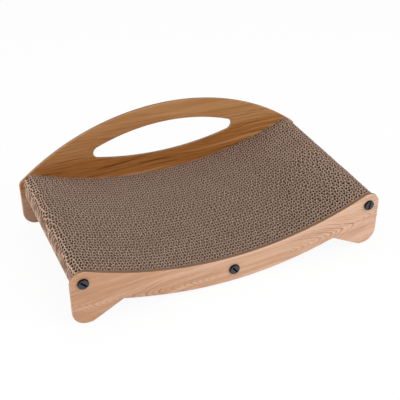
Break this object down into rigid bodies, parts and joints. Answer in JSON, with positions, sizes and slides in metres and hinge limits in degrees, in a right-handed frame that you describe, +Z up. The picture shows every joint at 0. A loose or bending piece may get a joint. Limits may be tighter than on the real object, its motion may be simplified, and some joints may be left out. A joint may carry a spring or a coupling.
{
  "type": "cat scratching board",
  "caption": "Dished cat scratching board: a pad of glued corrugated cardboard strips between a low front panel and an arched rear panel with a hand grip, closed by coin-slot screws.",
  "frame": {"origin": "on the ground under the middle of the board", "axes": "+X along the board's length, +Y from the front panel to the rear panel, +Z up"},
  "size_m": [0.43, 0.2402, 0.1476],
  "materials": {
    "oak_print_panel": "satin wood-grain print on thin fibreboard",
    "corrugated_board": "raw kraft, cut edges",
    "black_plastic": "satin moulded",
    "tube_plastic": "matt extruded"
  },
  "bodies": {
    "root": {"front_panel": "oak_print_panel", "rear_panel": "oak_print_panel", "cardboard_strip_01": "corrugated_board", "cardboard_strip_02": "corrugated_board", "cardboard_strip_03": "corrugated_board", "cardboard_strip_04": "corrugated_board", "cardboard_strip_05": "corrugated_board", "cardboard_strip_06": "corrugated_board", "cardboard_strip_07": "corrugated_board", "cardboard_strip_08": "corrugated_board", "cardboard_strip_09": "corrugated_board", "cardboard_strip_10": "corrugated_board", "cardboard_strip_11": "corrugated_board", "cardboard_strip_12": "corrugated_board", "cardboard_strip_13": "corrugated_board", "cardboard_strip_14": "corrugated_board", "cardboard_strip_15": "corrugated_board", "cardboard_strip_16": "corrugated_board", "cardboard_strip_17": "corrugated_board", "cardboard_strip_18": "corrugated_board", "cardboard_strip_19": "corrugated_board", "cardboard_strip_20": "corrugated_board", "cardboard_strip_21": "corrugated_board", "cardboard_strip_22": "corrugated_board", "cardboard_strip_23": "corrugated_board", "cardboard_strip_24": "corrugated_board", "cardboard_strip_25": "corrugated_board", "cardboard_strip_26": "corrugated_board", "cardboard_strip_27": "corrugated_board", "cardboard_strip_28": "corrugated_board", "cardboard_strip_29": "corrugated_board", "cardboard_strip_30": "corrugated_board", "cardboard_strip_31": "corrugated_board", "cardboard_strip_32": "corrugated_board", "cardboard_strip_33": "corrugated_board", "cardboard_strip_34": "corrugated_board", "cardboard_strip_35": "corrugated_board", "cardboard_strip_36": "corrugated_board", "cardboard_strip_37": "corrugated_board", "cardboard_strip_38": "corrugated_board", "cardboard_strip_39": "corrugated_board", "tie_tube_left": "tube_plastic", "tie_tube_middle": "tube_plastic", "tie_tube_right": "tube_plastic", "front_screw_left": "black_plastic", "front_screw_middle": "black_plastic", "front_screw_right": "black_plastic", "rear_screw_left": "black_plastic", "rear_screw_middle": "black_plastic", "rear_screw_right": "black_plastic"}
  },
  "joints": []
}
